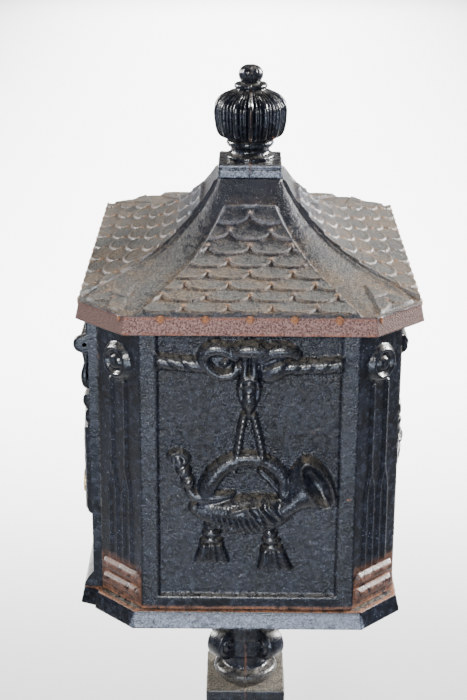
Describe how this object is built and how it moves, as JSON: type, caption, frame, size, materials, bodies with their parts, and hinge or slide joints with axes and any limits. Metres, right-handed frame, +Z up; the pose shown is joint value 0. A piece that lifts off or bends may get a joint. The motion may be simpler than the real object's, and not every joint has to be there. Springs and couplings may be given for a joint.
{
  "type": "pedestal post box",
  "caption": "Cast-iron post box on a pedestal: chamfered box with horn reliefs, fish-scale tiled roof and finial, letter flap under a hood, and a side-hinged locking door.",
  "frame": {"origin": "on the column's axis, on the underside of the ground plate", "axes": "+Z up; the front with the letter slot and the door faces -Y; +X is to the right of someone facing the front"},
  "size_m": [0.4052, 0.3111, 1.2001],
  "materials": {
    "body_iron": "weathered glossy black paint on cast iron",
    "roof_iron": "dusty worn black paint with rust between the tiles",
    "finial_iron": "weathered glossy black paint with dust and rust",
    "pedestal_iron": "weathered glossy black paint with dust",
    "steel": "dull zinc-plated steel",
    "brass": "dull brass"
  },
  "bodies": {
    "root": {"side_panel_right": "body_iron", "side_panel_left": "body_iron", "back_panel": "body_iron", "front_frame": "body_iron", "box_floor": "body_iron", "slot_hood": "body_iron", "roof": "roof_iron", "finial": "finial_iron", "ground_plate": "pedestal_iron", "column_foot": "pedestal_iron", "column_shaft": "pedestal_iron", "column_capital": "pedestal_iron", "tie_rod": "steel", "tie_rod_washer": "steel", "tie_rod_nut": "steel", "flap_pin": "steel", "hood_screw_left": "steel", "hood_screw_right": "steel", "door_hinge_pin_lower": "steel", "door_hinge_pin_upper": "steel", "finial_stud": "steel", "finial_nut": "steel", "corner_rod_1": "steel", "corner_rod_2": "steel", "corner_rod_3": "steel", "corner_rod_4": "steel", "corner_nut_1": "steel", "corner_nut_2": "steel", "corner_nut_3": "steel", "corner_nut_4": "steel"},
    "flap": {"slot_flap": "body_iron"},
    "door": {"door": "body_iron", "lock_nut": "brass"},
    "lock": {"lock_barrel": "brass", "lock_cam": "steel"}
  },
  "joints": [
    {"name": "flap_swing", "type": "hinge", "parent": "root", "child": "flap", "pos_m": [0, -0.1468, 0.9705], "axis": [-1, 0, 0], "range_deg": [0, 75]},
    {"name": "door_hinge", "type": "hinge", "parent": "root", "child": "door", "pos_m": [-0.121, -0.1475, 0.86], "axis": [0, 0, -1], "range_deg": [0, 110]},
    {"name": "lock_turn", "type": "hinge", "parent": "door", "child": "lock", "pos_m": [0.084, -0.1515, 0.822], "axis": [0, -1, 0], "range_deg": [0, 90]}
  ]
}
